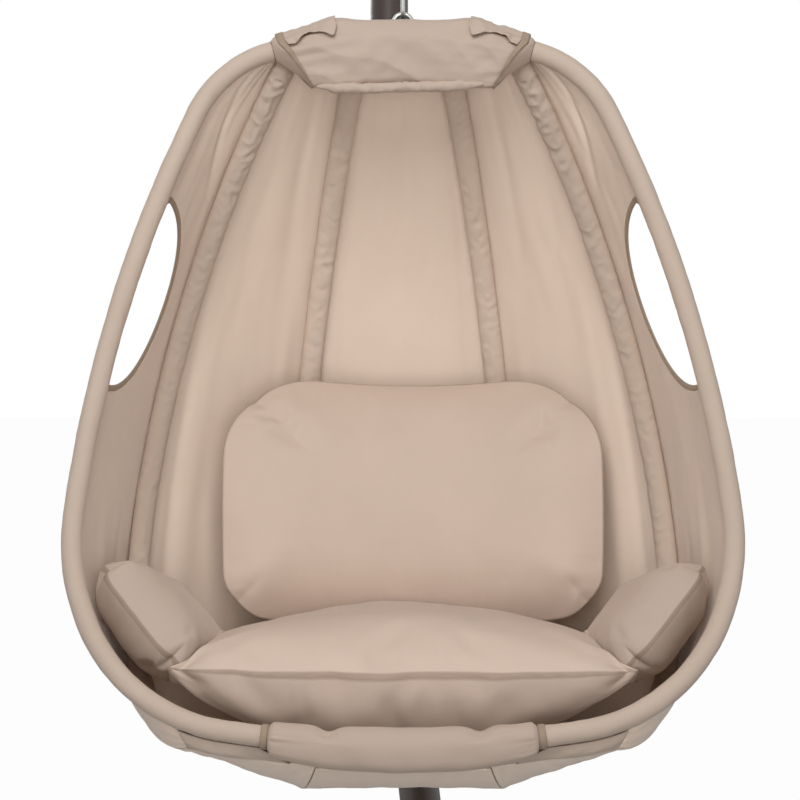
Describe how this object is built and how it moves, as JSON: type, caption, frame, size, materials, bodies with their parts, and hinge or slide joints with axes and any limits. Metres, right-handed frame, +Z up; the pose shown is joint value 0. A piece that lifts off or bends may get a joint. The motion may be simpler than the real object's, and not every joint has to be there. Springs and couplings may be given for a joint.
{
  "type": "hanging chair",
  "caption": "Padded cloth pod chair on a tube hoop and bent ribs, hung by a chain and swivel from a C-shaped stand with a round base, with loose seat, back and arm cushions.",
  "frame": {"origin": "middle of the round base, on the floor under the hub's rubber foot", "axes": "+Z up, the chair faces -Y, +X to the right of someone looking at its front"},
  "size_m": [1.0906, 1.2093, 2.0693],
  "materials": {
    "stand_paint": "satin dark brown powder coat",
    "frame_paint": "satin dark brown powder coat",
    "zinc": "dull zinc plate",
    "cloth": "matte brushed taupe cloth",
    "stuffing": "matte brushed taupe cushion",
    "binding": "darker woven binding",
    "rubber": "matte black"
  },
  "bodies": {
    "stand": {"arm_end_cap": "stand_paint", "base_feet": "rubber", "base_hub": "stand_paint", "base_ring_couplers": "stand_paint", "base_ring_left": "stand_paint", "base_ring_right": "stand_paint", "base_spoke_front": "stand_paint", "base_spoke_left": "stand_paint", "base_spoke_rear": "stand_paint", "base_spoke_right": "stand_paint", "eye_bolt": "zinc", "eye_bolt_nut": "zinc", "eye_bolt_saddle": "zinc", "hub_foot": "rubber", "lower_post": "stand_paint", "post_bolts": "zinc", "post_coupler": "stand_paint", "upper_arm": "stand_paint"},
    "chair": {"back_cushion": "stuffing", "bolster_left": "stuffing", "bolster_right": "stuffing", "bottom_pad": "stuffing", "hanger_plate": "frame_paint", "hoop_bottom": "frame_paint", "hoop_couplers": "frame_paint", "hoop_left": "frame_paint", "hoop_right": "frame_paint", "hoop_rivets": "zinc", "hoop_sleeve_left": "cloth", "hoop_sleeve_right": "cloth", "hoop_top": "frame_paint", "panel_centre": "cloth", "panel_left_inner": "cloth", "panel_left_outer": "cloth", "panel_right_inner": "cloth", "panel_right_outer": "cloth", "rib_inner_left": "frame_paint", "rib_inner_right": "frame_paint", "rib_outer_left": "frame_paint", "rib_outer_right": "frame_paint", "rib_pins": "zinc", "rib_sleeve_inner_left": "cloth", "rib_sleeve_inner_right": "cloth", "rib_sleeve_outer_left": "cloth", "rib_sleeve_outer_right": "cloth", "rib_sockets": "frame_paint", "seat_cushion": "stuffing", "top_pad": "stuffing", "window_binding_left": "binding", "window_binding_right": "binding"},
    "chain": {"chain_links": "zinc", "swivel_eye": "zinc", "swivel_nut": "zinc", "swivel_washer": "zinc"},
    "quick_link": {"quick_link": "zinc"},
    "quick_link_nut": {"quick_link_nut": "zinc"}
  },
  "joints": [
    {"name": "swing_sideways", "type": "hinge", "parent": "stand", "child": "quick_link", "pos_m": [-0.06075, -0.06122, 1.92833], "axis": [0, 1, 0], "range_deg": [-8, 8]},
    {"name": "swing_fore_aft", "type": "hinge", "parent": "quick_link", "child": "chain", "pos_m": [-0.06075, -0.06122, 1.86613], "axis": [1, 0, 0], "range_deg": [-12, 8]},
    {"name": "swivel", "type": "hinge", "parent": "chain", "child": "chair", "pos_m": [-0.06075, -0.06122, 1.5246], "axis": [0, 0, 1], "range_deg": [-60, 60]},
    {"name": "quick_link_nut", "type": "slide", "parent": "quick_link", "child": "quick_link_nut", "axis": [0, 0, 1], "range_m": [-0.0185, 0]}
  ]
}
